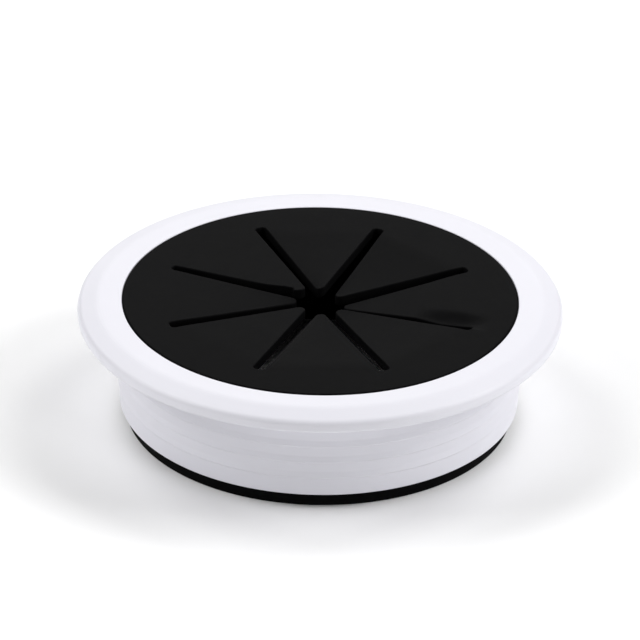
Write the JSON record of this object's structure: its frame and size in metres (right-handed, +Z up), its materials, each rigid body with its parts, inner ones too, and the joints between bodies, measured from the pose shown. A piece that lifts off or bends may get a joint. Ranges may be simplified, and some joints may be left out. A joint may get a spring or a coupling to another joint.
{
  "type": "desk cable grommet",
  "caption": "Round desk cable grommet: a flanged liner ring that drops into a desk hole, with a soft slit insert whose flaps close round cables.",
  "frame": {"origin": "on the barrel's axis, at the underside of the flange, which is the desk top", "axes": "+Z up out of the desk along the barrel's axis; +X along the middle of flap_1"},
  "size_m": [0.0954, 0.0954, 0.0248],
  "materials": {
    "ring_plastic": "satin moulded white plastic",
    "insert_rubber": "matte moulded black rubber"
  },
  "bodies": {
    "liner": {"liner_flange": "ring_plastic", "liner_barrel": "ring_plastic"},
    "insert": {"insert_disc": "insert_rubber", "insert_skirt": "insert_rubber"},
    "flap_1": {"flap_1": "insert_rubber"},
    "flap_2": {"flap_2": "insert_rubber"},
    "flap_3": {"flap_3": "insert_rubber"},
    "flap_4": {"flap_4": "insert_rubber"},
    "flap_5": {"flap_5": "insert_rubber"},
    "flap_6": {"flap_6": "insert_rubber"},
    "flap_7": {"flap_7": "insert_rubber"},
    "flap_8": {"flap_8": "insert_rubber"}
  },
  "joints": [
    {"name": "insert_lift", "type": "slide", "parent": "liner", "child": "insert", "axis": [0, 0, 1], "range_m": [0, 0.03]},
    {"name": "flap_1_bend", "type": "hinge", "parent": "insert", "child": "flap_1", "pos_m": [0.02712, 0, 0.0026], "axis": [0, -1, 0], "range_deg": [-70, 85], "stiffness_Nm_per_rad": 0.007},
    {"name": "flap_2_bend", "type": "hinge", "parent": "insert", "child": "flap_2", "pos_m": [0.01918, 0.01918, 0.0026], "axis": [0.7071, -0.7071, 0], "range_deg": [-70, 85], "stiffness_Nm_per_rad": 0.007},
    {"name": "flap_3_bend", "type": "hinge", "parent": "insert", "child": "flap_3", "pos_m": [0, 0.02712, 0.0026], "axis": [1, 0, 0], "range_deg": [-70, 85], "stiffness_Nm_per_rad": 0.007},
    {"name": "flap_4_bend", "type": "hinge", "parent": "insert", "child": "flap_4", "pos_m": [-0.01918, 0.01918, 0.0026], "axis": [0.7071, 0.7071, 0], "range_deg": [-70, 85], "stiffness_Nm_per_rad": 0.007},
    {"name": "flap_5_bend", "type": "hinge", "parent": "insert", "child": "flap_5", "pos_m": [-0.02712, 0, 0.0026], "axis": [0, 1, 0], "range_deg": [-70, 85], "stiffness_Nm_per_rad": 0.007},
    {"name": "flap_6_bend", "type": "hinge", "parent": "insert", "child": "flap_6", "pos_m": [-0.01918, -0.01918, 0.0026], "axis": [-0.7071, 0.7071, 0], "range_deg": [-70, 85], "stiffness_Nm_per_rad": 0.007},
    {"name": "flap_7_bend", "type": "hinge", "parent": "insert", "child": "flap_7", "pos_m": [0, -0.02712, 0.0026], "axis": [-1, 0, 0], "range_deg": [-70, 85], "stiffness_Nm_per_rad": 0.007},
    {"name": "flap_8_bend", "type": "hinge", "parent": "insert", "child": "flap_8", "pos_m": [0.01918, -0.01918, 0.0026], "axis": [-0.7071, -0.7071, 0], "range_deg": [-70, 85], "stiffness_Nm_per_rad": 0.007}
  ]
}
